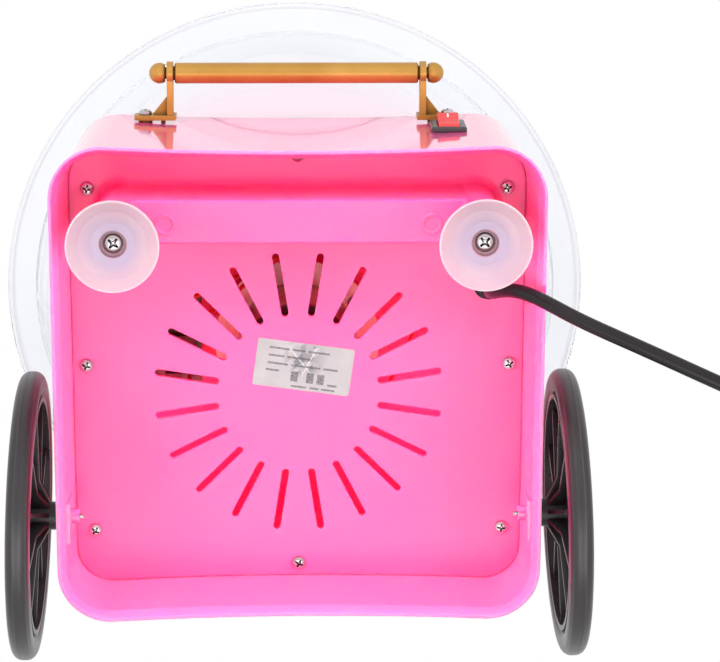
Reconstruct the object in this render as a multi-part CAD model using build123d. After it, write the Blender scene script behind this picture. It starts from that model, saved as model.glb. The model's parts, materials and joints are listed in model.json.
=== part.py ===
from build123d import *
import math
import os

# Cotton candy machine: a square moulded body on two big spoked wheels and two suction feet, with a
# clear bowl on top and a spinning sugar head in the middle of the bowl.
# Millimetres. The origin is on the floor, under the motor axis. +Z is up, -Y is the front, where
# the handle and the rocker switch are, and +X is the side where the mains cord leaves.

# ---------------------------------------------------------------- driving dimensions
WALL = 2.3                # moulded wall thickness
BODY_Y = -2.6             # centre of the square body, just in front of the motor axis
RIM_HALF = 105.2          # half width of the flared lip round the skirt
RIM_Z = 45.6              # underside of the skirt
LIP_HEIGHT = 4.0
LIP_THICK = 1.3           # the lip flares outwards on both faces and thins to this at its edge
SKIRT_HALF = 103.2        # half width of the wall just above the lip
DECK_HALF = 101.4         # half width of the wall at the deck
DECK_Z = 158.0
RIM_CORNER = 22.0
BOW = 2.0                 # how far the front and back walls curve inwards at their middle
DECK_ROUND = 7.0

PLATE_Z = 83.0            # underside of the base plate
PLATE_THICK = 2.2
PLATE_HALF = 99.3
PLATE_CORNER = 16.0
PLATE_GAP = 0.25          # between the plate's edge and the inside of the skirt
VENT_Y = 9.8
VENT_INNER = 35.5
VENT_OUTER = 64.2
VENT_WIDTH = 3.2
VENT_COUNT = 20
SCREW_SPOTS = [(-91.3, -82.9), (0.0, -97.3), (91.3, -82.9), (-93.4, -3.6), (93.4, -3.6),
               (-91.1, 72.8), (91.1, 72.8), (0.0, 89.0)]

FOOT_X = 75.5
FOOT_Y = -75.1
POST_R = 10.6
RIDGE_Z = 48.0            # underside of the ridge that joins the two foot posts
RIDGE_HALF_Y = 9.6
EJECTOR_X = 56.4          # the two ring-shaped marks on the ridge
CUP_R = 19.0
CUP_TOP = 12.0

WHEEL_R = 63.2
WHEEL_X = 118.2
WHEEL_Y = 59.1
WHEEL_TOE = 1.7           # degrees that the axles toe in towards the front
TYRE_WIDTH = 10.0
SPOKES = 10
AXLE_R = 2.0
AXLE_TIP_R = 1.1          # the turned-down tip that shows inside the skirt
BOSS_REACH = 4.2          # how far the axle's boss stands out of the inside of the wall
RUNNING_GAP = 0.05

BAR_Y = -125.7
BAR_Z = 132.0
BAR_R = 4.65
BAR_HALF = 54.5
ARM_THICK = 2.8
FOOT_SCREW_X = 68.0       # screw and locating pin of a bracket's foot
FOOT_PIN_X = 60.0
FOOT_THICK = 2.2
FOOT_STANDOFF = 1.2       # boss behind the foot, between it and the wall

SWITCH_X = 66.8
SWITCH_Z = 108.6
BEZEL_WIDTH = 15.4
BEZEL_HEIGHT = 21.0
BEZEL_THICK = 2.0
ROCKER_R = 8.6            # swing radius of the rocker's ends about its pivot
ROCKER_REST = 10.0        # degrees that the rocker leans at rest, upper end out

BOWL_HUB_R = 44.0
BOWL_FLOOR_R = 92.0
BOWL_WALL_R = 129.0
BOWL_RIM_R = 143.8
BOWL_TOP = 246.8
BOWL_THICK = 2.0

SHAFT_R = 2.0
MOTOR_R = 27.0
MOTOR_Z0 = 100.0
MOTOR_Z1 = 139.0
HEAD_Z = 172.0
HEAD_R = 32.0

BOARD_Z = 138.0           # underside of the rectifier board
BOARD_SPOTS = [(-66.0, -18.0), (-66.0, 18.0)]
TERMINAL_X = (46.0, 66.0)
TERMINAL_Y = (-48.0, -30.8)
TERMINAL_TOP = 101.0

CORD_R = 3.1
GLAND_X = 83.1
GLAND_Y = -39.4
GRIP_TIP_Z = 70.0         # where the cord leaves the strain relief
GRIP_TOP_Z = 90.0
COIL_CENTRE = (222.0, 35.4)
COIL_R = 33.2             # middle of the coiled turns
PLUG_X = 260.5
PLUG_Z = 6.85             # height of the plug's pins over the floor
PLUG_TAIL_Y = 52.0        # tail of the plug's sleeve
PLUG_NECK_Y = 76.0        # where the sleeve meets the plug's body
PLUG_FACE_Y = 111.0       # the face that the pins stand on
PIN_R = 2.0
PIN_NECK_R = 1.8          # the thinner stem that the plug's body is moulded round
PIN_NECK_OUT = 0.5        # how far the stem shows before the pin's full thickness
PIN_PITCH = 19.0
PIN_LENGTH = 19.0
CORD_ROUTE = [(83.1, -39.4, 70.0), (83.6, -40.9, 61.5), (86.2, -43.6, 53.5), (91.0, -45.6, 46.2),
              (97.3, -45.2, 40.0), (105.0, -42.4, 34.8), (118.0, -36.3, 28.5), (145.0, -26.0, 18.5),
              (170.0, -16.0, 9.8), (192.0, -7.0, 4.4), (208.0, -2.4, 3.2), (222.0, -1.0, 3.2)]

LOW = (Align.CENTER, Align.CENTER, Align.MIN)


# ---------------------------------------------------------------- small helpers
def save(name, shape):
    """Writes one sub-part to its own file."""
    export_step(shape, f"parts/{name}.step")


def group(solids):
    """Several separate solids that share one node."""
    return Compound(children=list(solids))


def block(x, y, z):
    """A box from three (low, high) pairs."""
    size = Box(x[1] - x[0], y[1] - y[0], z[1] - z[0])
    return Pos((x[0] + x[1]) / 2, (y[0] + y[1]) / 2, (z[0] + z[1]) / 2) * size


def rod(r, z0, z1, x=0.0, y=0.0):
    """An upright cylinder between two heights."""
    return Pos(x, y, z0) * Cylinder(r, z1 - z0, align=LOW)


def tube(outer, inner, z0, z1, x=0.0, y=0.0):
    """An upright tube between two heights."""
    return rod(outer, z0, z1, x, y) - rod(inner, z0 - 1, z1 + 1, x, y)


def turned(points):
    """A solid of revolution about Z from a closed outline of (radius, height) points."""
    outline = Polyline([(r, 0, z) for r, z in points], close=True)
    return revolve(make_face(outline), Axis.Z)


def along_x(shape):
    """Turns a solid built along +Z to run along +X."""
    return Rot(0, 90, 0) * shape


def along_y(shape):
    """Turns a solid built along +Z to run along +Y."""
    return Rot(-90, 0, 0) * shape


def cross_recess(size, depth):
    """The cross-shaped driver recess of a screw, sunk upwards from z = 0."""
    slot = Pos(0, 0, depth / 2 - 0.5) * Box(size, size * 0.2, depth + 1)
    return slot + Rot(0, 0, 90) * slot


def pan_screw(head_r, head_h, shank_r, length):
    """A pan-head screw: its head hangs below z = 0 and its shank stands above it."""
    dome = Pos(0, 0, -head_h) * Cylinder(head_r, head_h, align=LOW)
    dome = fillet(dome.edges().group_by(Axis.Z)[0], head_h * 0.55)
    screw = dome + Cylinder(shank_r, length, align=LOW)
    return screw - Pos(0, 0, -head_h) * cross_recess(head_r * 1.15, head_h * 0.6)


def polar_spots(r, count, start=0.0):
    """Evenly spaced points on a circle."""
    for i in range(count):
        a = math.radians(start + 360 * i / count)
        yield r * math.cos(a), r * math.sin(a)


# ---------------------------------------------------------------- body and base
def square_outline(half, corner, z):
    """The body's plan at one height: a rounded square whose front and back bow inwards."""
    run = half - corner
    near, far = -half, half
    edges = [
        Line((half, -run), (half, run)),
        RadiusArc((half, run), (run, far), -corner),
        ThreePointArc((run, far), (0, far - BOW), (-run, far)),
        RadiusArc((-run, far), (-half, run), -corner),
        Line((-half, run), (-half, -run)),
        RadiusArc((-half, -run), (-run, near), -corner),
        ThreePointArc((-run, near), (0, near + BOW), (run, near)),
        RadiusArc((run, near), (half, -run), -corner),
    ]
    return Pos(0, BODY_Y, z) * make_face(edges)


def square_block(plans):
    """A block through several plans, each (height, half width, corner radius), from the bottom up."""
    return loft([square_outline(half, corner, z) for z, half, corner in plans], ruled=True)


def rounded_top(z, half, corner, radius, steps=6):
    """The plans that round a block's top edge over."""
    for i in range(steps + 1):
        a = math.radians(90 * i / steps)
        inset = radius * (1 - math.cos(a))
        yield z - radius * (1 - math.sin(a)), half - inset, corner - inset


def wall_half(z):
    """Half width of the outside wall at a height."""
    share = (z - RIM_Z - LIP_HEIGHT) / (DECK_Z - RIM_Z - LIP_HEIGHT)
    return SKIRT_HALF + (DECK_HALF - SKIRT_HALF) * share


def inner_half(z):
    """Half width of the skirt's inside between the lip and the base plate."""
    share = (z - RIM_Z - LIP_HEIGHT) / (PLATE_Z - RIM_Z - LIP_HEIGHT)
    above_lip = SKIRT_HALF - 1.8
    return above_lip + (PLATE_HALF + PLATE_GAP - above_lip) * share


def front_wall_y(x, z):
    """Where the outside of the front wall is."""
    run = RIM_CORNER - wall_half(z)
    return BODY_Y - wall_half(z) + BOW * (1 - (x / run) ** 2)


def wheel_place(side):
    """The frame of a wheel: its X runs outwards along the axle."""
    turn = -WHEEL_TOE if side > 0 else 180 + WHEEL_TOE
    return Pos(side * WHEEL_X, WHEEL_Y, WHEEL_R) * Rot(0, 0, turn)


def axle_boss(side):
    """The boss and pad inside the skirt that carry one axle."""
    wall = WHEEL_X - inner_half(WHEEL_R)
    boss = Pos(-wall - BOSS_REACH, 0, 0) * along_x(Cylinder(3.3, BOSS_REACH + 1.0, align=LOW))
    pad = Pos(-wall, 0, -2.0) * Box(1.6, 18.0, 18.0)
    return wheel_place(side) * (boss + pad)


def axle_hole(side, radius):
    return wheel_place(side) * (Pos(-40, 0, 0) * along_x(Cylinder(radius, 60, align=LOW)))


def body_shell():
    top_corner = RIM_CORNER - 2
    floor = RIM_Z + LIP_HEIGHT
    outer = square_block([(RIM_Z, RIM_HALF, RIM_CORNER + 1), (floor, SKIRT_HALF, RIM_CORNER),
                          *rounded_top(DECK_Z, DECK_HALF, top_corner, DECK_ROUND)])
    inner = square_block([(RIM_Z - 1, RIM_HALF - LIP_THICK + 0.8, RIM_CORNER - 0.3),
                          (RIM_Z + 0.3 * LIP_HEIGHT, RIM_HALF - LIP_THICK - 1.0, RIM_CORNER - 1.5),
                          (floor, inner_half(floor), RIM_CORNER - 3.4),
                          (PLATE_Z, inner_half(PLATE_Z), PLATE_CORNER + PLATE_GAP),
                          *rounded_top(DECK_Z - WALL, PLATE_HALF - 0.6, PLATE_CORNER, DECK_ROUND - WALL)])
    shell = outer - inner
    for x, y in SCREW_SPOTS:
        shell += rod(3.4, PLATE_Z + PLATE_THICK, DECK_Z - 1, x, y) & outer
    for x, y in polar_spots(33.0, 3, 90):
        shell += rod(3.5, MOTOR_Z1 + 4.5, DECK_Z - 1, x, y)
    for x, y in BOARD_SPOTS:
        shell += rod(3.0, BOARD_Z + 1.6, DECK_Z - 1, x, y)
    shell += axle_boss(-1) + axle_boss(1)
    shell += tube(43.0, 40.6, DECK_Z - 1, DECK_Z + 9)
    shell -= rod(34.0, DECK_Z - 5, DECK_Z + 5)
    for x, y in SCREW_SPOTS:
        shell -= rod(1.4, PLATE_Z, PLATE_Z + 16, x, y)
    for x, y in polar_spots(33.0, 3, 90):
        shell -= rod(1.4, MOTOR_Z1 + 4, DECK_Z - 6, x, y)
    for x, y in BOARD_SPOTS:
        shell -= rod(1.1, BOARD_Z, DECK_Z - 6, x, y)
    shell -= axle_hole(-1, AXLE_R) + axle_hole(1, AXLE_R)
    shell -= Pos(SWITCH_X, front_wall_y(SWITCH_X, SWITCH_Z), SWITCH_Z) * Box(12.2, 12, 19.4)
    for x, radius in ((FOOT_SCREW_X, 1.5), (FOOT_PIN_X, 1.2)):
        hole = along_y(Cylinder(radius, 12, align=LOW))
        for side in (-1, 1):
            shell -= Pos(side * x, front_wall_y(x, BAR_Z) - 4, BAR_Z) * hole
    return shell


def vent_slots():
    length = VENT_OUTER - VENT_INNER
    slot = extrude(SlotOverall(length, VENT_WIDTH), 6, both=True)
    slot = Pos((VENT_OUTER + VENT_INNER) / 2, 0, PLATE_Z) * slot
    for i in range(VENT_COUNT):
        yield Pos(0, VENT_Y, 0) * Rot(0, 0, 9 + 360 * i / VENT_COUNT) * slot


def base_plate():
    """The plate with its cooling slots, and the hollow ridge and posts that reach down to the feet."""
    top = PLATE_Z + PLATE_THICK
    plate = extrude(square_outline(PLATE_HALF, PLATE_CORNER, PLATE_Z), PLATE_THICK)
    ridge = block((-FOOT_X, FOOT_X), (FOOT_Y - RIDGE_HALF_Y, FOOT_Y + RIDGE_HALF_Y), (RIDGE_Z, top))
    ridge = fillet(ridge.edges().filter_by(Axis.X).group_by(Axis.Z)[0], 1.2)
    posts = [Pos(side * FOOT_X, FOOT_Y, CUP_TOP) * Cone(POST_R - 1.0, POST_R, top - CUP_TOP, align=LOW)
             for side in (-1, 1)]
    solid = plate + ridge + posts[0] + posts[1]
    solid = fillet(foot_edges(solid), 4.0)
    hollow = block((-FOOT_X, FOOT_X), (FOOT_Y - RIDGE_HALF_Y + WALL, FOOT_Y + RIDGE_HALF_Y - WALL),
                   (RIDGE_Z + WALL, top + 1))
    for side in (-1, 1):
        hollow += rod(POST_R - WALL - 1, CUP_TOP + 14, top + 1, side * FOOT_X, FOOT_Y)
    solid -= hollow
    for side in (-1, 1):
        solid -= rod(1.4, CUP_TOP - 1, CUP_TOP + 15, side * FOOT_X, FOOT_Y)
        solid += tube(4.4, 3.2, RIDGE_Z - 0.5, RIDGE_Z + 1, side * EJECTOR_X, FOOT_Y + 1)
    for slot in vent_slots():
        solid -= slot
    for x, y in SCREW_SPOTS:
        solid -= rod(1.7, PLATE_Z - 1, top + 1, x, y)
    return solid - rod(4.6, PLATE_Z - 1, top + 1, GLAND_X, GLAND_Y)


def foot_edges(solid):
    """The edges where the ridge and the posts rise from the plate."""
    found = []
    for edge in solid.edges():
        box = edge.bounding_box()
        near = abs(box.min.Z - PLATE_Z) < 0.01 and abs(box.max.Z - PLATE_Z) < 0.01
        inside = box.min.X > -92 and box.max.X < 92 and box.max.Y < -60 and box.min.Y > -90
        if near and inside:
            found.append(edge)
    return found


def suction_cup():
    """A soft cup: a wide lip, a dished inside and a stepped well for its screw."""
    profile = [(1.6, 12.0), (1.6, 8.4), (4.25, 8.4), (4.25, 6.8), (5.5, 6.8), (5.5, 4.8), (9.0, 4.1),
               (14.0, 2.4), (18.2, 0.0), (19.0, 0.0), (19.0, 0.7), (15.0, 4.2), (10.0, 6.8),
               (8.6, 8.6), (8.6, 12.0)]
    return turned(profile)


# ---------------------------------------------------------------- wheels
def tyre():
    """A solid rubber ring with rounded shoulders, about the X axis."""
    section = Pos(WHEEL_R - 5.5, 0, 0) * RectangleRounded(11.0, TYRE_WIDTH, 4.2)
    ring = revolve(Plane.XZ * section, Axis.Z)
    return along_x(ring)


def wheel():
    """Hub, cross-webbed spokes and inner rim, about the X axis, with its outside facing +X."""
    rim_out = WHEEL_R - 11.0
    rim = Cylinder(rim_out, 9.2) - Cylinder(rim_out - 2.2, 10)
    hub = Pos(0, 0, -14.2) * Cylinder(6.2, 19.7, align=LOW)
    web = Pos(0, 0, -0.9) * Cylinder(11.0, 1.8, align=LOW)
    part = rim + hub + web
    end = rim_out - 1.5
    flat = Polygon((5, -3.6), (end, -2.0), (end, 2.0), (5, 3.6), align=None)
    flat = extrude(flat, 0.9, both=True)
    fin = Polygon((5, -9.5), (16, -4.2), (end, -3.0), (end, 3.0), (16, 4.2), (5, 5.0), align=None)
    fin = extrude(Plane.XZ * fin, 0.9, both=True)
    for i in range(SPOKES):
        part += Rot(0, 0, 18 + 360 * i / SPOKES) * (flat + fin)
    part -= Pos(0, 0, -20) * Cylinder(AXLE_R + RUNNING_GAP, 40, align=LOW)
    part -= Pos(0, 0, 3.0) * Cylinder(4.6, 10, align=LOW)
    return along_x(part)


def hub_cap():
    """A shallow domed cap on the outside of the hub."""
    skirt = Pos(0, 0, 5.5) * Cylinder(6.2, 2.6, align=LOW)
    skirt = fillet(skirt.edges().group_by(Axis.Z)[-1], 1.8)
    return along_x(skirt - Pos(0, 0, 5) * Cylinder(4.4, 1.8, align=LOW))


def axle():
    """The steel pin: a flat head inside the hub, then a shank through the wall and its boss."""
    boss_end = inner_half(WHEEL_R) - WHEEL_X - BOSS_REACH
    tip = chamfer(rod(AXLE_TIP_R, boss_end - 2.2, boss_end).edges().group_by(Axis.Z)[0], 0.4)
    return along_x(tip + rod(AXLE_R, boss_end, 4.0) + rod(4.0, 3.4, 4.8))


def axle_washer():
    """The thin washer between the wall and the wheel's sleeve."""
    at = WHEEL_X - wall_half(WHEEL_R) - 0.2
    return along_x(Pos(0, 0, -at) * (Cylinder(5.0, 0.5, align=LOW) - Cylinder(AXLE_R + 0.02, 3)))


# ---------------------------------------------------------------- handle
def foot_face_y():
    """The front face of a bracket's foot."""
    return front_wall_y(65, BAR_Z) - FOOT_STANDOFF - FOOT_THICK


def bracket(side):
    """One handle bracket: an eye for the bar, an arm, a foot with bosses, and a gusset between them."""
    front = foot_face_y()
    back = front + FOOT_THICK
    arm_in = BAR_HALF + 0.8
    arm_out = arm_in + ARM_THICK
    eye = Pos(arm_in, BAR_Y, BAR_Z) * along_x(Cylinder(5.2, ARM_THICK, align=LOW))
    arm = block((arm_in, arm_out), (BAR_Y, back), (BAR_Z - 4.2, BAR_Z + 4.2))
    foot = block((arm_in - 1.2, arm_in + 17.6), (front, back), (BAR_Z - 4.6, BAR_Z + 4.6))
    foot = fillet(foot.edges().filter_by(Axis.Y).group_by(Axis.X)[-1], 3.0)
    inside, near = arm_out - 0.5, front + 0.5
    gusset = Polygon((inside, near), (inside, front - 9.0), (arm_out + 7.0, near), align=None)
    gusset = Pos(0, 0, BAR_Z) * extrude(gusset, 1.1, both=True)
    boss = Pos(FOOT_SCREW_X, back, BAR_Z) * along_y(Cylinder(3.2, FOOT_STANDOFF, align=LOW))
    pin = Pos(FOOT_PIN_X, back - 0.5, BAR_Z) * along_y(Cylinder(1.0, FOOT_STANDOFF + 2.5, align=LOW))
    part = eye + arm + foot + gusset + boss + pin
    part -= Pos(FOOT_SCREW_X, front - 5, BAR_Z) * along_y(Cylinder(1.7, 12, align=LOW))
    part -= Pos(arm_in - 1, BAR_Y, BAR_Z) * along_x(Cylinder(2.0, 8, align=LOW))
    return part if side > 0 else mirror(part, Plane.YZ)


def handle_bar():
    """The round bar, with a stepped spigot at each end that fits a bracket's eye."""
    bar = Cylinder(BAR_R, 2 * BAR_HALF)
    bar = chamfer(bar.edges().filter_by(GeomType.CIRCLE), 0.5)
    bar += Cylinder(3.2, 2 * BAR_HALF + 1.6)
    bar += Cylinder(1.95, 2 * (BAR_HALF + 0.8 + ARM_THICK))
    return Pos(0, BAR_Y, BAR_Z) * along_x(bar)


def finial(side):
    """A ball knob, cut flat where it faces the bracket, with a short neck."""
    face = BAR_HALF + 0.8 + ARM_THICK
    ball = Pos(0, 0, 3.3) * Sphere(BAR_R) & Pos(0, 0, 0.8) * Cylinder(10, 12, align=LOW)
    knob = ball + Cylinder(2.6, 2.0, align=LOW)
    knob = Pos(face, BAR_Y, BAR_Z) * along_x(knob)
    return knob if side > 0 else mirror(knob, Plane.YZ)


def handle_screws():
    for side in (-1, 1):
        yield Pos(side * FOOT_SCREW_X, foot_face_y(), BAR_Z) * along_y(pan_screw(2.9, 2.0, 1.45, 11.0))


# ---------------------------------------------------------------- switch
def switch_frame():
    """The place of the rocker's pivot. In this frame -Y still points out of the front wall."""
    return Pos(SWITCH_X, bezel_front_y() + 2.8, SWITCH_Z)


def bezel_back_y():
    """The plane that the bezel lies in, touching the curved wall at the bezel's outer lower corner."""
    return front_wall_y(SWITCH_X + BEZEL_WIDTH / 2, SWITCH_Z - BEZEL_HEIGHT / 2)


def bezel_front_y():
    return bezel_back_y() - BEZEL_THICK


def switch_housing():
    """The black bezel outside the wall, and the open box behind it."""
    wall = bezel_back_y()
    bezel = Box(BEZEL_WIDTH, BEZEL_THICK, BEZEL_HEIGHT, align=(Align.CENTER, Align.MAX, Align.CENTER))
    bezel = fillet(bezel.edges().filter_by(Axis.Y), 1.2)
    bezel = fillet(bezel.edges().group_by(Axis.Y)[0], 0.8)
    case = Box(12.0, 15.0, 19.2, align=(Align.CENTER, Align.MIN, Align.CENTER))
    part = Pos(SWITCH_X, wall, SWITCH_Z) * (bezel + case)
    pocket = Box(9.8, 14.0, 17.8, align=(Align.CENTER, Align.MIN, Align.CENTER))
    part -= Pos(SWITCH_X, wall - 3.5, SWITCH_Z) * pocket
    return part - switch_frame() * along_x(Cylinder(1.05, 30))


def rocker():
    """The rocker cap: two facets that meet in a shallow valley, on a pivot pin."""
    r = ROCKER_R
    tip = math.radians(50)
    corner = (-r * math.cos(tip), r * math.sin(tip))
    base = (-0.5, math.sqrt(r * r - 0.25))
    with BuildSketch() as outline:
        with BuildLine():
            Line((-4.1, 0), corner)
            RadiusArc(corner, base, r)
            Line(base, (2.4, 3.2))
            Line((2.4, 3.2), (2.4, -3.2))
            Line((2.4, -3.2), (base[0], -base[1]))
            RadiusArc((base[0], -base[1]), (corner[0], -corner[1]), r)
            Line((corner[0], -corner[1]), (-4.1, 0))
        make_face()
    cap = extrude(Plane.YZ * outline.sketch, 4.6, both=True)
    pin = along_x(Cylinder(1.0, 11.4))
    return switch_frame() * Rot(ROCKER_REST, 0, 0) * (cap + pin)


def switch_terminals():
    """Two flat blades out of the back of the switch."""
    back = bezel_back_y() + 15.0
    blade = Box(4.8, 7.0, 0.8, align=(Align.CENTER, Align.MIN, Align.CENTER))
    for z in (-5.0, 5.0):
        yield Pos(SWITCH_X, back, SWITCH_Z + z) * blade


# ---------------------------------------------------------------- bowl
def bowl():
    """A clear bowl with a raised collar round its hole, a steep wall and a flat rim turned down."""
    t = BOWL_THICK
    with BuildSketch(Plane.XZ) as half:
        with BuildLine():
            Polyline((BOWL_HUB_R, DECK_Z), (BOWL_FLOOR_R, DECK_Z))
            RadiusArc((BOWL_FLOOR_R, DECK_Z), (BOWL_FLOOR_R + 22, DECK_Z + 20), -24)
            Polyline((BOWL_FLOOR_R + 22, DECK_Z + 20), (BOWL_WALL_R, BOWL_TOP - 9),
                     (BOWL_WALL_R + 1.2, BOWL_TOP - 4.5), (BOWL_RIM_R - 3.4, BOWL_TOP - 2.6),
                     (BOWL_RIM_R - 2.0, BOWL_TOP - 5.6), (BOWL_RIM_R, BOWL_TOP - 5.6),
                     (BOWL_RIM_R, BOWL_TOP - 1.2), (BOWL_RIM_R - 1.2, BOWL_TOP),
                     (BOWL_WALL_R - 0.6, BOWL_TOP - 2.3), (BOWL_WALL_R - t, BOWL_TOP - 8.6),
                     (BOWL_FLOOR_R + 22 - t, DECK_Z + 20.4))
            RadiusArc((BOWL_FLOOR_R + 22 - t, DECK_Z + 20.4), (BOWL_FLOOR_R, DECK_Z + t), 22)
            Polyline((BOWL_FLOOR_R, DECK_Z + t), (BOWL_HUB_R + t, DECK_Z + t), (BOWL_HUB_R + t, DECK_Z + 12),
                     (BOWL_HUB_R, DECK_Z + 12), (BOWL_HUB_R, DECK_Z))
        make_face()
    return revolve(half.sketch, Axis.Z)


# ---------------------------------------------------------------- sugar head and heater
def sugar_head():
    """The spun aluminium dish that holds the sugar, with the hub that slips on the shaft."""
    dish = turned([(0, HEAD_Z), (26, HEAD_Z), (HEAD_R + 0.8, HEAD_Z + 2.4), (HEAD_R + 0.8, HEAD_Z + 3.6),
                   (25.6, HEAD_Z + 1.4), (6, HEAD_Z + 1.4), (5, HEAD_Z + 2.4), (5, HEAD_Z + 13),
                   (0, HEAD_Z + 13)])
    return dish - rod(SHAFT_R + RUNNING_GAP, HEAD_Z - 1, HEAD_Z + 11.5)


def head_band():
    """The slotted band that the melted sugar is thrown through."""
    band = tube(HEAD_R - 0.4, HEAD_R - 1.1, HEAD_Z + 3.6, HEAD_Z + 17.0)
    slot = Pos(HEAD_R - 1, 0, HEAD_Z + 10.3) * Box(4, 0.9, 9.0)
    for i in range(36):
        band -= Rot(0, 0, 10 * i) * slot
    return band


def head_cover():
    """The ring-shaped lid of the head, with a rolled mouth for pouring sugar."""
    top = HEAD_Z + 17.0
    lid = turned([(15.0, top - 3.5), (15.8, top - 3.5), (16.4, top), (HEAD_R + 0.4, top),
                  (HEAD_R + 0.4, top + 1.0), (16.0, top + 1.0), (15.0, top + 0.4)])
    for x, y in polar_spots(21.0, 3, 30):
        lid -= rod(1.2, top - 1, top + 2, x, y)
    return lid


def head_rivets():
    """Three long rivets that hold the cover and the band down to the dish."""
    top = HEAD_Z + 18.0
    for x, y in polar_spots(21.0, 3, 30):
        head = rod(2.0, top, top + 1.0, x, y)
        yield fillet(head.edges().group_by(Axis.Z)[-1], 0.7) + rod(1.2, HEAD_Z + 1.4, top, x, y)


def heat_dish():
    """The aluminium dish under the heater, sitting in the deck's collar."""
    dish = turned([(5.0, DECK_Z - 3.0), (30.0, DECK_Z - 3.0), (33.4, DECK_Z), (39.8, DECK_Z),
                   (39.8, DECK_Z + 1.0), (33.0, DECK_Z + 1.0), (29.6, DECK_Z - 2.0), (5.0, DECK_Z - 2.0)])
    for x, y in polar_spots(24.0, 3, 30):
        dish -= rod(1.2, DECK_Z - 5, DECK_Z + 3, x, y)
    return dish


def heater_posts():
    """Three ceramic pillars, with a screw of their own, that carry the heater ring."""
    for x, y in polar_spots(24.0, 3, 30):
        yield tube(3.0, 1.15, DECK_Z - 2.0, DECK_Z + 7.0, x, y)


def heater_ring():
    """The grooved insulating ring under the spinning head."""
    ring = turned([(17.5, DECK_Z + 7), (30.5, DECK_Z + 7), (30.5, DECK_Z + 10), (27.5, DECK_Z + 10),
                   (27.5, DECK_Z + 8.5), (20.5, DECK_Z + 8.5), (20.5, DECK_Z + 10), (17.5, DECK_Z + 10)])
    for x, y in polar_spots(24.0, 3, 30):
        ring -= rod(1.15, DECK_Z + 6, DECK_Z + 9, x, y)
    return ring


def heating_coil():
    """The coiled resistance wire, as the plain torus that it fills."""
    return Pos(0, 0, DECK_Z + 10.0) * Torus(24.0, 1.45)


def heater_studs():
    """The screws through the pillars, which are also the heater's terminals."""
    for x, y in polar_spots(24.0, 3, 30):
        yield rod(1.1, DECK_Z - 8.0, DECK_Z + 8.4, x, y) + rod(2.4, DECK_Z - 5.6, DECK_Z - 3.0, x, y)


# ---------------------------------------------------------------- motor
def motor_can():
    """The drawn steel can, open at its lower end, with a bearing seat in its top."""
    can = rod(MOTOR_R, MOTOR_Z0, MOTOR_Z1) - rod(MOTOR_R - 1.5, MOTOR_Z0 - 1, MOTOR_Z1 - 1.5)
    can += tube(8.0, 5.0, MOTOR_Z1 - 1, MOTOR_Z1 + 3.0)
    can -= rod(5.0, MOTOR_Z1 - 3, MOTOR_Z1 + 4)
    for x, y in polar_spots(18.0, 4, 45):
        can -= rod(3.0, MOTOR_Z1 - 3, MOTOR_Z1 + 1, x, y)
    return can


def motor_end_cap():
    """The moulded end bell that closes the can and holds the lower bearing."""
    cap = rod(MOTOR_R, MOTOR_Z0 - 3.0, MOTOR_Z0) + tube(8.0, 5.0, MOTOR_Z0 - 6.0, MOTOR_Z0 - 2.5)
    cap -= rod(5.0, MOTOR_Z0 - 7, MOTOR_Z0 + 1)
    for x, y in polar_spots(17.0, 6, 15):
        cap -= rod(3.2, MOTOR_Z0 - 4, MOTOR_Z0 + 1, x, y)
    return cap


def motor_bushings():
    for z0, z1 in ((MOTOR_Z0 - 6.0, MOTOR_Z0 - 0.5), (MOTOR_Z1 - 2.5, MOTOR_Z1 + 3.0)):
        yield tube(5.0, SHAFT_R + RUNNING_GAP, z0, z1)


def motor_magnets():
    """Two arc magnets inside the can."""
    ring = tube(MOTOR_R - 1.5, MOTOR_R - 7.0, MOTOR_Z0 + 8.0, MOTOR_Z1 - 6.0)
    gap = Box(12.0, 80.0, 60.0)
    halves = ring - Pos(0, 0, (MOTOR_Z0 + MOTOR_Z1) / 2) * gap
    return halves.solids()


def motor_brushes():
    """Two carbon brushes in their holders, one each side of the commutator."""
    for side in (-1, 1):
        x = side * 9.6
        yield block((x - 3.4, x + 3.4), (-2.5, 2.5), (MOTOR_Z0 + 1.0, MOTOR_Z0 + 5.5))


def motor_shaft():
    shaft = rod(SHAFT_R, 88.0, HEAD_Z + 11.0)
    return chamfer(shaft.edges().filter_by(GeomType.CIRCLE), 0.4)


def drive_collar():
    """The collar on the shaft that the head rests on and is turned by."""
    return tube(4.0, SHAFT_R, HEAD_Z - 3.0, HEAD_Z)


def armature():
    """The slotted steel core with its windings between the teeth."""
    core = tube(19.4, SHAFT_R, MOTOR_Z0 + 9.0, MOTOR_Z1 - 7.0)
    for x, y in polar_spots(17.0, 7):
        core -= rod(1.9, MOTOR_Z0 + 8.0, MOTOR_Z1 - 6.0, x, y)
    return core


def commutator():
    return tube(5.6, SHAFT_R, MOTOR_Z0 + 0.6, MOTOR_Z0 + 7.0)


def cooling_fan():
    """The fan under the motor, which draws air in through the base slots."""
    fan = tube(5.0, SHAFT_R, 88.5, 93.5)
    fan += tube(22.0, SHAFT_R, 92.3, 93.5)
    blade = block((4.5, 22.0), (-0.6, 0.6), (88.5, 92.6))
    for i in range(8):
        fan += Rot(0, 0, 45 * i) * blade
    return fan


def motor_bracket():
    """The pressed steel plate that hangs the motor under the deck."""
    z0 = MOTOR_Z1
    plate = tube(38.0, 8.2, z0, z0 + 1.5)
    for x, y in polar_spots(33.0, 3, 90):
        plate -= rod(3.0, z0 - 1, z0 + 3, x, y)
    for x, y in polar_spots(18.0, 4, 45):
        plate -= rod(3.0, z0 - 1, z0 + 3, x, y)
    return plate


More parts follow.
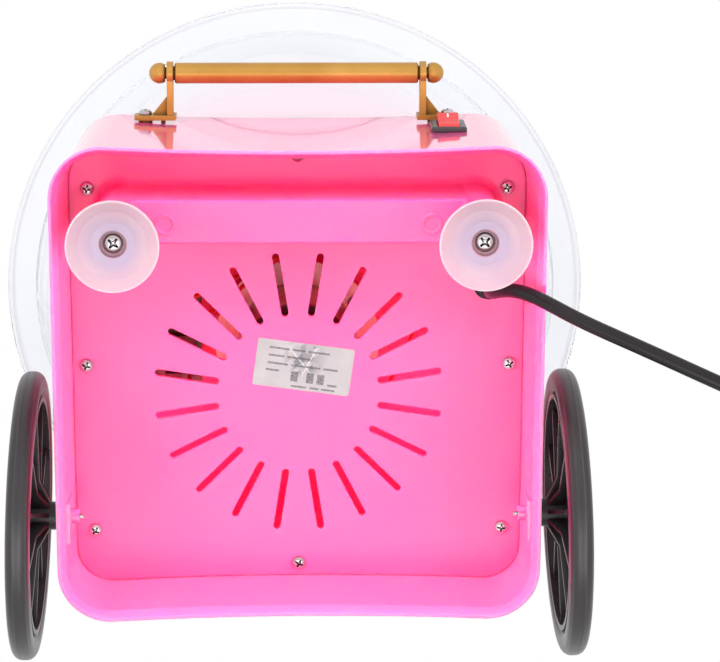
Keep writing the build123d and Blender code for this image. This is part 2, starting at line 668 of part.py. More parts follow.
def motor_dampers():
    """Three rubber bushes between the bracket and the deck's bosses."""
    for x, y in polar_spots(33.0, 3, 90):
        neck = tube(3.0, 1.5, MOTOR_Z1 - 1.5, MOTOR_Z1 + 4.5, x, y)
        lower = tube(5.2, 1.5, MOTOR_Z1 - 1.5, MOTOR_Z1, x, y)
        upper = tube(5.2, 1.5, MOTOR_Z1 + 1.5, MOTOR_Z1 + 4.5, x, y)
        yield neck + lower + upper


def motor_screws():
    for x, y in polar_spots(33.0, 3, 90):
        yield Pos(x, y, MOTOR_Z1 - 1.5) * pan_screw(3.0, 2.0, 1.35, 14.0)


# ---------------------------------------------------------------- electrics
def rectifier_board():
    board = block((-72.0, -44.0), (-24.0, 24.0), (BOARD_Z, BOARD_Z + 1.6))
    for x, y in BOARD_SPOTS:
        board -= rod(1.5, BOARD_Z - 1, BOARD_Z + 3, x, y)
    return board


def board_parts():
    """The bridge rectifier, a capacitor and a resistor block on the underside of the board."""
    yield block((-62.0, -47.0), (-4.0, 11.0), (BOARD_Z - 6.0, BOARD_Z))
    yield rod(4.0, BOARD_Z - 11.0, BOARD_Z, -53.0, -14.0)
    yield block((-61.0, -54.0), (14.0, 19.0), (BOARD_Z - 5.0, BOARD_Z))


def board_screws():
    for x, y in BOARD_SPOTS:
        yield Pos(x, y, BOARD_Z) * pan_screw(2.6, 1.8, 1.05, 9.0)


def terminal_block():
    part = block(TERMINAL_X, TERMINAL_Y, (PLATE_Z + PLATE_THICK, TERMINAL_TOP))
    for y in (-44.5, -39.4, -34.3):
        part -= rod(1.8, TERMINAL_TOP - 4, TERMINAL_TOP + 1, 56.0, y)
    return part


def thermal_fuse():
    """The cut-out clipped to the underside of the heat dish."""
    return block((-6.0, 6.0), (12.0, 20.0), (DECK_Z - 7.0, DECK_Z - 3.0))


def wire(points, radius, bend):
    """An insulated wire along straight runs joined by arcs."""
    path = FilletPolyline(*points, radius=bend)
    return sweep(Plane(path @ 0, z_dir=path % 0) * Circle(radius), path=path)


def wiring():
    """Terminal block, switch, rectifier board, motor, heater and cut-out, joined one after another."""
    switch_back = bezel_back_y() + 22.0
    low, high = SWITCH_Z - 5.0, SWITCH_Z + 5.0
    routes = [
        [(56, -44.5, 99), (56, -44.5, high), (SWITCH_X, -56, high), (SWITCH_X, switch_back, high)],
        [(SWITCH_X, switch_back, low), (SWITCH_X, -62, low), (20, -58, 118), (-57, -20, 122),
         (-57, -20, BOARD_Z)],
        [(56, -39.4, 99), (56, -39.4, 126), (0, -48, 130), (-48, -10, 126), (-48, -10, BOARD_Z)],
        [(-50, 17, BOARD_Z), (-50, 17, 112), (-38, 16, 98.5), (-24.6, 12.4, 98.5)],
        [(-50, 0, BOARD_Z + 1.6), (-50, 0, 146), (-20.8, 12, 146), (-20.8, 12, DECK_Z - 8)],
        [(20.8, 12, DECK_Z - 8), (20.8, 12, 145.5), (3, 16, 145.5), (3, 16, DECK_Z - 7)],
        [(-3, 18.5, DECK_Z - 7), (-3, 18.5, 147), (40, 30, 147), (58, -20, 118), (56, -34.3, 110),
         (56, -34.3, 99)],
    ]
    for points in routes:
        yield wire(points, 1.0, 2.5)


def inner_lead():
    """The sheathed lead between the cord grip and the terminal block."""
    level = TERMINAL_TOP - CORD_R - 0.4
    route = [(GLAND_X, GLAND_Y, GRIP_TOP_Z), (GLAND_X, GLAND_Y, level), (TERMINAL_X[1], GLAND_Y, level)]
    return wire(route, CORD_R, 7)


# ---------------------------------------------------------------- cord
def cord_grip():
    """The strain relief in the base plate: a flange, a tapered sleeve below it and a locking barb."""
    top = PLATE_Z + PLATE_THICK
    flange = PLATE_Z - 2.0
    part = turned([(0, GRIP_TIP_Z), (3.9, GRIP_TIP_Z), (5.2, flange - 0.4), (6.3, flange), (6.3, PLATE_Z),
                   (4.6, PLATE_Z), (4.6, top), (5.6, top), (4.8, GRIP_TOP_Z), (0, GRIP_TOP_Z)])
    return Pos(GLAND_X, GLAND_Y, 0) * part


def corner_radii(points):
    """The largest arc that each corner's two runs allow."""
    radii = []
    for a, b, c in zip(points, points[1:], points[2:]):
        first, second = Vector(*b) - Vector(*a), Vector(*c) - Vector(*b)
        half_turn = math.radians(first.get_angle(second)) / 2
        radii.append(0.45 * min(first.length, second.length) / math.tan(half_turn))
    return radii


def cord_tube():
    radii = corner_radii(CORD_ROUTE)
    path = FilletPolyline(*CORD_ROUTE, radius=radii)
    section = Plane(path @ 0, z_dir=path % 0) * Circle(CORD_R)
    solid = sweep(section, path=path, transition=Transition.TRANSFORMED)
    print("cord radii", [round(r, 1) for r in radii], "length", round(path.length, 1),
          "volume ratio", round(solid.volume / (path.length * math.pi * CORD_R ** 2), 4))
    return solid


def cord_coil():
    """The outer shape of the coiled turns: two layers of two turns."""
    outer = COIL_R + 2 * CORD_R + 0.8
    inner = COIL_R - 2 * CORD_R - 0.4
    return tube(outer, inner, 0.0, 4 * CORD_R + 0.2, *COIL_CENTRE)


def plug_body():
    """A flat two-pin plug that lies on the floor, with its sleeve towards the coil."""
    shoulder = PLUG_FACE_Y - 12
    outline = Polygon((-9.0, PLUG_NECK_Y), (9.0, PLUG_NECK_Y), (17.0, shoulder), (17.0, PLUG_FACE_Y),
                      (-17.0, PLUG_FACE_Y), (-17.0, shoulder), align=None)
    body = extrude(outline, 2 * PLUG_Z)
    body = fillet(body.edges().filter_by(Axis.Z), 3.0)
    body = fillet(body.edges().group_by(Axis.Z)[0] + body.edges().group_by(Axis.Z)[-1], 2.2)
    sleeve = along_y(Cone(3.5, 5.0, PLUG_NECK_Y - PLUG_TAIL_Y + 1.0, align=LOW))
    sleeve = Pos(0, PLUG_TAIL_Y, PLUG_Z) * sleeve
    part = Pos(PLUG_X, 0, 0) * (body + sleeve)
    socket = along_y(Cylinder(PIN_NECK_R, 12, align=LOW))
    for side in (-1, 1):
        part -= Pos(PLUG_X + side * PIN_PITCH / 2, PLUG_FACE_Y - 8, PLUG_Z) * socket
    return part


def plug_pins():
    pin = rod(PIN_R, PIN_NECK_OUT, PIN_LENGTH)
    pin = fillet(pin.edges().group_by(Axis.Z)[-1], 1.2)
    pin += rod(PIN_NECK_R, -8.0, PIN_NECK_OUT + 1)
    for side in (-1, 1):
        yield Pos(PLUG_X + side * PIN_PITCH / 2, PLUG_FACE_Y, PLUG_Z) * along_y(pin)


# ---------------------------------------------------------------- label and fasteners
def rating_label():
    """The foil sticker on the underside of the base plate, in the middle of the slots."""
    sticker = extrude(RectangleRounded(43.0, 21.5, 0.8), -0.2)
    return Pos(2.3, -2.2, PLATE_Z) * Rot(0, 0, 8.0) * sticker


def base_screws():
    for x, y in SCREW_SPOTS:
        yield Pos(x, y, PLATE_Z) * pan_screw(2.9, 2.0, 1.4, 15.0)


def foot_screws():
    for side in (-1, 1):
        yield Pos(side * FOOT_X, FOOT_Y, 8.4) * pan_screw(3.4, 2.2, 1.4, 17.0)


def build():
    os.makedirs("parts", exist_ok=True)
    save("body_shell", body_shell())
    save("base_plate", base_plate())
    save("base_screws", group(base_screws()))
    save("foot_screws", group(foot_screws()))
    save("rating_label", rating_label())
    for side, word in ((-1, "left"), (1, "right")):
        place = wheel_place(side)
        save(f"suction_cup_{word}", Pos(side * FOOT_X, FOOT_Y, 0) * suction_cup())
        save(f"wheel_{word}", place * wheel())
        save(f"tyre_{word}", place * tyre())
        save(f"hub_cap_{word}", place * hub_cap())
        save(f"handle_bracket_{word}", bracket(side))
        save(f"handle_finial_{word}", finial(side))
    save("axles", group(wheel_place(side) * axle() for side in (-1, 1)))
    save("axle_washers", group(wheel_place(side) * axle_washer() for side in (-1, 1)))
    save("handle_bar", handle_bar())
    save("handle_screws", group(handle_screws()))
    save("switch_housing", switch_housing())
    save("switch_terminals", group(switch_terminals()))
    save("rocker", rocker())
    save("bowl", bowl())
    save("sugar_head", sugar_head())
    save("head_band", head_band())
    save("head_cover", head_cover())
    save("head_rivets", group(head_rivets()))
    save("heat_dish", heat_dish())
    save("heater_posts", group(heater_posts()))
    save("heater_ring", heater_ring())
    save("heating_coil", heating_coil())
    save("heater_studs", group(heater_studs()))
    save("motor_can", motor_can())
    save("motor_end_cap", motor_end_cap())
    save("motor_bushings", group(motor_bushings()))
    save("motor_magnets", group(motor_magnets()))
    save("motor_brushes", group(motor_brushes()))
    save("motor_shaft", motor_shaft())
    save("drive_collar", drive_collar())
    save("armature", armature())
    save("commutator", commutator())
    save("cooling_fan", cooling_fan())
    save("motor_bracket", motor_bracket())
    save("motor_dampers", group(motor_dampers()))
    save("motor_screws", group(motor_screws()))
    save("rectifier_board", rectifier_board())
    save("board_parts", group(board_parts()))
    save("board_screws", group(board_screws()))
    save("terminal_block", terminal_block())
    save("thermal_fuse", thermal_fuse())
    save("wiring", group(wiring()))
    save("inner_lead", inner_lead())
    save("cord_grip", cord_grip())
    save("cord_tube", cord_tube())
    save("cord_coil", cord_coil())
    save("plug_body", plug_body())
    save("plug_pins", group(plug_pins()))


build()
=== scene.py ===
import bpy
import json
import math
from mathutils import Matrix, Vector, noise


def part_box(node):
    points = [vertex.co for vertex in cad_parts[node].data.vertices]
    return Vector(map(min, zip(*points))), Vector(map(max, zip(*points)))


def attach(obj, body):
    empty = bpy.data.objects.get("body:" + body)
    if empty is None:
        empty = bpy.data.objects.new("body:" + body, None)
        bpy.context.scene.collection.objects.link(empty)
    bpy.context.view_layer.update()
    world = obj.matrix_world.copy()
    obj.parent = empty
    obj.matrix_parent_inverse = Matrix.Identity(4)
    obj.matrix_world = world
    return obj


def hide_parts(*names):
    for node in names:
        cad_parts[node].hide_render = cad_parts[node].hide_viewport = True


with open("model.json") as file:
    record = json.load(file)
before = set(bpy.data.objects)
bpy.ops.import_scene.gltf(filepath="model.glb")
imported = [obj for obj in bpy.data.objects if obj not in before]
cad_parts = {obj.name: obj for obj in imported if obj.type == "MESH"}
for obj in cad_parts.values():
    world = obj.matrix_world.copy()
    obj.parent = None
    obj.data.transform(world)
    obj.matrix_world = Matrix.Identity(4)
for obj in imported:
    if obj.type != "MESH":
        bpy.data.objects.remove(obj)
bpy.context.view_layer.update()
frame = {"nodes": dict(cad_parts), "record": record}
NODES = frame["nodes"]

# Metres, in the frame's own axes.
CAMERA_AT = (-0.0087, -0.2955, -1.0004)
CAMERA_TILT = 14.34       # degrees that the view leans back from straight up
CAMERA_YAW = 1.84
CAMERA_ROLL = 0.28
CAMERA_LENS = 126.9

# ---------------------------------------------------------------- cord
CORD_D = 0.0062
CORD_ROUTE = [(0.0831, -0.0394, 0.0700), (0.0836, -0.0409, 0.0615), (0.0862, -0.0436, 0.0535),
              (0.0910, -0.0456, 0.0462), (0.0973, -0.0452, 0.0400), (0.1050, -0.0424, 0.0348),
              (0.1180, -0.0363, 0.0285), (0.1450, -0.0260, 0.0185), (0.1700, -0.0160, 0.0098),
              (0.1920, -0.0070, 0.0044), (0.2080, -0.0024, 0.0032), (0.2220, -0.0010, 0.0032)]
COIL_CENTRE = (0.2220, 0.0354)
COIL_OUTER = 0.0364       # radii of the outer and the inner turns
COIL_INNER = 0.0300
COIL_FLOOR = 0.0032       # height of the turns that lie on the floor
COIL_TOP = 0.0094         # height of the turns that lie on them
COIL_TURNS = 3.25
TURN_POINTS = 16          # points in each turn
CORD_END = [(0.2592, 0.0440, 0.0090), (0.2605, 0.0500, 0.0073), (0.2605, 0.0570, 0.00685)]

# ---------------------------------------------------------------- screws, feet, wheels and label
PLATE_Z = 0.083
SCREW_SPOTS = [(-0.0913, -0.0829), (0.0, -0.0973), (0.0913, -0.0829), (-0.0934, -0.0036), (0.0934, -0.0036),
               (-0.0911, 0.0728), (0.0911, 0.0728), (0.0, 0.0890)]
SCREW_TURNS = [12, 50, 75, 20, 63, 35, 5, 28]      # degrees that each driver cross is turned
# Radius and height of the head, then radius and length of the shank.
SCREW_SIZES = (0.0029, 0.0020, 0.0014, 0.0150)
FOOT_SCREW_SIZES = (0.0038, 0.0022, 0.0014, 0.0170)
FOOT_SCREW_TURNS = [38, 47]
FOOT_AT = (0.0755, -0.0751)
FOOT_WELL_Z = 0.0084
GRIP_AT = (0.0831, -0.0394)
GRIP_TIP = 0.0700         # heights of the sleeve's lower end and of its uppermost rib
GRIP_TOP = 0.0806
GRIP_RIBS = 5
WHEEL_TOE = 1.7           # degrees that the axles toe in towards the front
LABEL_AT = (0.0023, -0.0022)
LABEL_TURN = 8.0
LABEL_SIZE = (0.0430, 0.0215)
LABEL_ROUND = 0.0008
LABEL_THICK = 0.00006
LABEL_LIFT = 0.00013      # how far its folds stand off the plate
LABEL_GRID = (86, 44)     # squares along and across it
# Plain printed bars on the label: middle along and across, length and height, in millimetres.
LABEL_BARS = [(-11.5, 7.2, 9.0, 0.9), (-3.0, 7.2, 6.0, 0.9), (6.0, 7.2, 9.5, 0.9),
              (-12.5, 3.7, 7.0, 0.9), (-2.5, 3.7, 10.5, 0.9),
              (-11.5, 0.2, 9.0, 0.9), (1.0, 0.2, 13.0, 0.9), (12.0, 0.2, 6.5, 0.9),
              (-13.5, -3.0, 6.0, 0.9), (-3.5, -4.8, 3.2, 4.6),
              (3.5, -4.8, 3.2, 4.6), (8.2, -4.8, 3.2, 4.6), (13.6, -7.0, 4.2, 1.0),
              (-1.0, -9.2, 7.0, 0.8), (6.0, -9.2, 4.0, 0.8), (12.0, -9.2, 6.0, 0.8)]
# Folds in the label: the direction across each one, and how far it passes from the label's middle.
LABEL_FOLDS = [((-0.70, -0.714), -0.0006), ((0.94, -0.34), 0.0012)]
FOLD_WIDTH = 0.0009
# Middle of the crumple in the label's plane, round which its painted shadow and painted fold highlights lie.
CRUMPLE_AT = (0.0, 0.0045, 0.0)


def smooth(t):
    """0 before t = 0, 1 after t = 1, and an even curve between."""
    t = min(max(t, 0.0), 1.0)
    return t * t * (3 - 2 * t)


def between(a, b, t):
    return a + (b - a) * t


# ---------------------------------------------------------------- building helpers
def add_mesh(name, mesh, body="root"):
    piece = bpy.data.objects.new(name, mesh)
    bpy.context.scene.collection.objects.link(piece)
    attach(piece, body)
    return piece


def from_faces(name, points, faces):
    """A smooth-shaded mesh that keeps its sharp edges."""
    mesh = bpy.data.meshes.new(name)
    mesh.from_pydata(points, [], faces)
    mesh.polygons.foreach_set("use_smooth", [True] * len(mesh.polygons))
    mesh.set_sharp_from_angle(angle=math.radians(38))
    return mesh


def lathe(profile, steps, lift=None, closed=False):
    """Points and faces of a profile of (radius, height) turned about Z. A radius of 0 makes one point.
    lift(x, y, z) may move each point in z, and closed joins the profile's end to its start."""
    points, rows = [], []
    for radius, height in profile:
        row = range(steps if radius else 1)
        rows.append([len(points) + i for i in row])
        for i in row:
            a = 2 * math.pi * i / steps
            x, y = radius * math.cos(a), radius * math.sin(a)
            points.append((x, y, lift(x, y, height) if lift else height))
    faces = []
    for low, high in zip(rows, rows[1:] + rows[:closed]):
        for i in range(steps):
            j = (i + 1) % steps
            corners = low[i % len(low)], low[j % len(low)], high[j % len(high)], high[i % len(high)]
            faces.append(tuple(dict.fromkeys(corners)))
    return points, faces


def placed(points, at, turn=Matrix.Identity(3)):
    """The points turned by a matrix and moved."""
    return [tuple(turn @ Vector(point) + Vector(at)) for point in points]


def join(parts):
    """One list of points and one of faces from several."""
    points, faces = [], []
    for part_points, part_faces in parts:
        faces += [tuple(len(points) + i for i in face) for face in part_faces]
        points += part_points
    return points, faces


# ---------------------------------------------------------------- camera
def make_camera():
    """Looks up at the underside, from below and a little in front."""
    data = bpy.data.cameras.new("camera")
    data.lens = CAMERA_LENS
    data.clip_start = 0.05
    data.clip_end = 20
    camera = bpy.data.objects.new("camera", data)
    turn = (Matrix.Rotation(math.radians(180 - CAMERA_TILT), 4, "X")
            @ Matrix.Rotation(math.radians(-CAMERA_YAW), 4, "Y")
            @ Matrix.Rotation(math.radians(-CAMERA_ROLL), 4, "Z"))
    camera.matrix_world = Matrix.Translation(CAMERA_AT) @ turn
    bpy.context.scene.collection.objects.link(camera)
    bpy.context.scene.camera = camera


# ---------------------------------------------------------------- cord
def coil_place(turn):
    """Radius and height of the coiled cord after some turns: two turns on the floor, then two on top."""
    radius = between(COIL_OUTER, COIL_INNER, smooth((turn - 0.72) / 0.26))
    radius = between(radius, COIL_OUTER, smooth((turn - 2.42) / 0.24))
    height = between(COIL_FLOOR, COIL_TOP, smooth((turn - 1.52) / 0.26))
    return radius / math.cos(math.pi / TURN_POINTS), height


def coil_points():
    """The coil's points, from where the cord reaches it to where it leaves."""
    for i in range(1, int(COIL_TURNS * TURN_POINTS) + 1):
        turn = i / TURN_POINTS
        radius, height = coil_place(turn)
        a = math.radians(-90 + 360 * turn)
        yield COIL_CENTRE[0] + radius * math.cos(a), COIL_CENTRE[1] + radius * math.sin(a), height


def make_cord():
    curve = bpy.data.curves.new("mains_cord", "CURVE")
    curve.dimensions = "3D"
    curve.bevel_depth = 1.0      # times each point's own radius
    curve.bevel_resolution = 5
    curve.resolution_u = 8
    points = [*CORD_ROUTE, *coil_points(), *CORD_END]
    line = curve.splines.new("NURBS")
    line.points.add(len(points) - 1)
    for point, at in zip(line.points, points):
        point.co = (*at, 1)
        point.radius = CORD_D / 2
    line.order_u = 3
    line.use_endpoint_u = True
    cord = bpy.data.objects.new("mains_cord", curve)
    bpy.context.scene.collection.objects.link(cord)
    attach(cord, "root")
    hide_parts("cord_tube", "cord_coil")
    return cord


# ---------------------------------------------------------------- screws
def driver_cross(x, y, size):
    """1 in the middle of a driver recess and 0 outside it. Its four arms narrow towards their ends."""
    along, across = max(abs(x), abs(y)), min(abs(x), abs(y))
    arm = between(0.26, 0.13, along / size) * size
    return smooth((arm - across) / (0.14 * size)) * smooth((0.86 * size - along) / (0.14 * size))


def screw_parts(head_r, head_h, shank_r, length):
    """A pan head that hangs below z = 0 with a driver recess in it, and the shank above it."""
    angles = [math.pi / 2 * i / 20 for i in range(1, 21)]
    dome = [(head_r * math.sin(t), -head_h * (0.45 + 0.55 * math.cos(t))) for t in angles]
    flat = [(head_r * 0.0785 * i / 4, -head_h) for i in range(5)]
    size = 0.80 * head_r      # reach of the cross's arms

    def sink(x, y, z):
        return z if z > -0.3 * head_h else z + 0.62 * head_h * driver_cross(x, y, size)

    head = [(r * 0.999, z) for r, z in flat + dome]
    shank = [(head_r * 0.999, 0.0), (shank_r, 0.0), (shank_r, length), (0.0, length)]
    return lathe(head + shank, 64, sink)


def make_screws(name, spots, sizes, turns):
    """A set of screws that point up."""
    parts = []
    for at, turn in zip(spots, turns):
        points, faces = screw_parts(*sizes)
        parts.append((placed(points, at, Matrix.Rotation(math.radians(turn), 3, "Z")), faces))
    screws = add_mesh("detailed_" + name, from_faces(name, *join(parts)))
    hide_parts(name)
    dress(screws, "screw_steel")


def make_all_screws():
    make_screws("base_screws", [(*spot, PLATE_Z) for spot in SCREW_SPOTS], SCREW_SIZES, SCREW_TURNS)
    feet = [(side * FOOT_AT[0], FOOT_AT[1], FOOT_WELL_Z) for side in (-1, 1)]
    make_screws("foot_screws", feet, FOOT_SCREW_SIZES, FOOT_SCREW_TURNS)


# ---------------------------------------------------------------- label
def fold_height(u, v):
    """How far the sticker stands off the plate, from 0 to 1: two ridges that meet, in a shallow crumple."""
    height = 0.0
    for (across_u, across_v), offset in LABEL_FOLDS:
        away = abs(u * across_u + v * across_v - offset) / FOLD_WIDTH
        height = max(height, math.exp(-away * away))
    reach = smooth(1.4 - math.hypot(u + 0.001, v - 0.004) / 0.008)
    return reach * (0.7 * height + 0.3 * noise.noise(Vector((u * 420, v * 420, 0.5))))


def label_point(u, v):
    """Rounds the corners of the sheet's outline."""
    past = [max(abs(t) - (size / 2 - LABEL_ROUND), 0.0) for t, size in zip((u, v), LABEL_SIZE)]
    if min(past) > 0:
        pull = max(past) / math.hypot(*past)
        u -= math.copysign(past[0] * (1 - pull), u)
        v -= math.copysign(past[1] * (1 - pull), v)
    return u, v


def label_grid():
    """The sticker's points in its own plane, row by row, and whether each one lies on its rim."""
    across, down = LABEL_GRID
    for j in range(down + 1):
        for i in range(across + 1):
            flat = label_point((i / across - 0.5) * LABEL_SIZE[0], (0.5 - j / down) * LABEL_SIZE[1])
            yield flat, i in (0, across) or j in (0, down)


def label_faces():
    """The sticker's printed side in small squares, and its back as one face."""
    across, down = LABEL_GRID
    row, last = across + 1, (across + 1) * down
    for start in range(0, last, row):
        for a in range(start, start + across):
            yield a, a + row, a + row + 1, a + 1
    yield (*range(across), *range(across, last + across, row), *range(last + across, last, -1),
           *range(last, 0, -row))


def make_label():
    """The foil sticker, put on by hand. Its UV map is its own plane in metres."""
    turn = math.radians(LABEL_TURN)
    points, flat = [], []
    for (u, v), on_rim in label_grid():
        x = LABEL_AT[0] + u * math.cos(turn) + v * math.sin(turn)
        y = LABEL_AT[1] + u * math.sin(turn) - v * math.cos(turn)
        stand = 0.0 if on_rim else LABEL_THICK + LABEL_LIFT * max(fold_height(u, v), 0.0)
        points.append((x, y, PLATE_Z - stand))
        flat.append((u, v))
    mesh = from_faces("rating_label", points, list(label_faces()))
    layer = mesh.uv_layers.new(name="plane")
    for loop in mesh.loops:
        layer.data[loop.index].uv = flat[loop.vertex_index]
    label = add_mesh("detailed_label", mesh)
    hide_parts("rating_label")
    dress(label, "label_foil")


# ---------------------------------------------------------------- strain relief
def make_grip():
    """The ribbed sleeve that holds the cord in the base plate."""
    profile = [(0.0030, GRIP_TIP), (0.0036, GRIP_TIP + 0.0001)]
    step = (GRIP_TOP - GRIP_TIP) / GRIP_RIBS
    for i in range(GRIP_RIBS):
        low = between(GRIP_TIP + 0.0004, GRIP_TOP, i / GRIP_RIBS)
        rib = between(0.0038, 0.0050, i / (GRIP_RIBS - 1))
        groove = rib - 0.0006
        profile += [(rib, low), (rib, low + step * 0.45)]
        profile += [(groove, low + step * 0.55), (groove, low + step * 0.9)]
    flange = [(0.0062, 0.0811), (0.0062, 0.0830), (0.0046, 0.0830)]
    snap = [(0.0046, 0.0852), (0.0055, 0.0852), (0.0047, 0.0900), (0.0030, 0.0900)]
    points, faces = lathe(profile + flange + snap, 48, closed=True)
    grip = add_mesh("detailed_grip", from_faces("cord_grip", placed(points, (*GRIP_AT, 0.0)), faces))
    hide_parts("cord_grip")
    dress(grip, "black_cord")


# ---------------------------------------------------------------- material helpers
class Shader:
    """A Principled material with short ways to add nodes to it."""

    def __init__(self, name, **values):
        self.material = bpy.data.materials.new(name)
        self.material.use_nodes = True
        self.tree = self.material.node_tree
        self.main = self.tree.nodes["Principled BSDF"]
        for socket, value in values.items():
            self.main.inputs[socket.replace("_", " ")].default_value = value
        self.bumps = []
        self.round = None

    def node(self, kind, inputs=(), **settings):
        """Adds a node. Its settings come before its inputs, because some change which inputs it has."""
        made = self.tree.nodes.new("ShaderNode" + kind)
        for key, value in settings.items():
            setattr(made, key, value)
        for key, value in dict(inputs).items():
            self.feed(made.inputs[key], value)
        return made

    def feed(self, socket, value):
        if isinstance(value, bpy.types.NodeSocket):
            self.tree.links.new(value, socket)
        else:
            socket.default_value = value

    def set(self, socket, value):
        self.feed(self.main.inputs[socket], value)

    def place(self):
        """Position in the piece's own space, which moves with it."""
        return self.node("TexCoord").outputs["Object"]

    def noise(self, scale, detail, stretch=None, rough=0.55):
        at = self.place()
        if stretch:
            at = self.node("Mapping", {"Vector": at, "Scale": stretch}).outputs[0]
        inputs = {"Vector": at, "Scale": scale, "Detail": detail, "Roughness": rough}
        return self.node("TexNoise", inputs).outputs["Fac"]

    def ramp(self, value, low, high, start=0.0, end=1.0):
        inputs = {"Value": value, "From Min": low, "From Max": high, "To Min": start, "To Max": end}
        return self.node("MapRange", inputs).outputs[0]

    def math(self, operation, a, b=0.0):
        return self.node("Math", {0: a, 1: b}, operation=operation).outputs[0]

    def mix(self, share, a, b):
        """Blends two colours."""
        return self.node("Mix", {0: share, 6: a, 7: b}, data_type="RGBA").outputs[2]

    def dot(self, a, b):
        return self.node("VectorMath", {0: a, 1: b}, operation="DOT_PRODUCT").outputs["Value"]

    def soften(self, radius):
        """Rounds the edges in the shading. Bumps lie on the rounded faces."""
        self.round = self.node("Bevel", {"Radius": radius}, samples=4).outputs[0]
        self.bumps.append(self.round)
        self.set("Normal", self.round)

    def edge(self, low=0.02, high=0.25):
        """1 on the edges that soften rounds, and 0 on open faces."""
        hard = self.node("NewGeometry").outputs["Normal"]
        return self.ramp(self.math("SUBTRACT", 1.0, self.dot(self.round, hard)), low, high)

    def hollow(self, distance):
        """0 deep in corners and recesses, and 1 on open faces: the mask with which shade is painted into
        them.
        """
        return self.node("AmbientOcclusion", {"Distance": distance}, samples=6).outputs["AO"]

    def split(self, vector):
        return self.node("SeparateXYZ", {0: vector}).outputs

    def reach(self, x, y):
        """How far a point lies from an upright axis, from its two offsets."""
        square = self.math("ADD", self.math("MULTIPLY", x, x), self.math("MULTIPLY", y, y))
        return self.math("SQRT", square)

    def base(self):
        """The base colour so far."""
        return self.main.inputs["Base Color"].links[0].from_socket

    def inside(self, value, middle, half, soft=1e-6):
        """1 where the value is within half of the middle."""
        away = self.math("ABSOLUTE", self.math("SUBTRACT", value, middle))
        return self.ramp(away, half + soft, half - soft)

    def rings(self, value, scale):
        """Uneven lines that run where a value is constant."""
        inputs = {"W": value, "Scale": scale, "Detail": 3.0}
        return self.node("TexNoise", inputs, noise_dimensions="1D").outputs["Fac"]

    def bump(self, height, strength, distance):
        """Adds a layer of bump on top of those before it."""
        inputs = {"Height": height, "Strength": strength, "Distance": distance}
        if self.bumps:
            inputs["Normal"] = self.bumps[-1]
        self.bumps.append(self.node("Bump", inputs).outputs[0])
        self.set("Normal", self.bumps[-1])


def rgb(r, g, b):
    return (r, g, b, 1.0)


def moulded(name, colour, pale, dark, rough, grain=0.06, **values):
    """Moulded plastic: slow colour drift, fine grain, a rub of paler edges and uneven gloss."""
    shader = Shader(name, **values)
    shader.soften(0.0006)
    drift = shader.ramp(shader.noise(14, 4), 0.3, 0.7)
    base = shader.mix(drift, dark, colour)
    worn = shader.math("MULTIPLY", shader.edge(), shader.ramp(shader.noise(160, 2), 0.4, 0.7, 0.0, 0.35))
    shader.set("Base Color", shader.mix(worn, base, pale))
    gloss = shader.ramp(shader.noise(55, 5), 0.25, 0.75, rough * 0.8, rough * 1.25)
    shader.set("Roughness", shader.math("ADD", gloss, shader.math("MULTIPLY", worn, 0.15)))
    shader.bump(shader.noise(1500, 2), grain, 0.0002)
    shader.bump(shader.noise(30, 2), 0.05, 0.002)
    return shader


def metal(name, colour, dark, rough, brushed):
    """Bare or plated metal with fine scratches and dull patches, and painted shade in its recesses."""
    shader = Shader(name, Metallic=1.0)
    shader.soften(0.0003)
    patches = shader.ramp(shader.noise(60, 5), 0.35, 0.7)
    base = shader.mix(patches, dark, colour)
    base = shader.mix(shader.math("MULTIPLY", shader.edge(), 0.5), base, colour)
    # Painted shade: the recesses are darkened to near black.
    clear_of_painted_shade = shader.ramp(shader.hollow(0.0012), 0.35, 0.80)
    shader.set("Base Color", shader.mix(clear_of_painted_shade, rgb(0.035, 0.030, 0.032), base))
    scratches = shader.noise(700, 3, stretch=brushed)
    shader.set("Roughness", shader.ramp(scratches, 0.3, 0.7, rough * 0.7, rough * 1.4))
    shader.bump(scratches, 0.05, 0.0002)
    return shader


# ---------------------------------------------------------------- materials
PINK = rgb(0.95, 0.115, 0.345)
PINK_DEEP = rgb(0.94, 0.095, 0.310)
PINK_PALE = rgb(0.97, 0.40, 0.56)
# Painted light for the skirt's inside.
PINK_PAINTED_LIGHT = rgb(0.96, 0.200, 0.470)       # where daylight comes through the thin skirt
BODY_MIDDLE = (0, 0, 0.1)


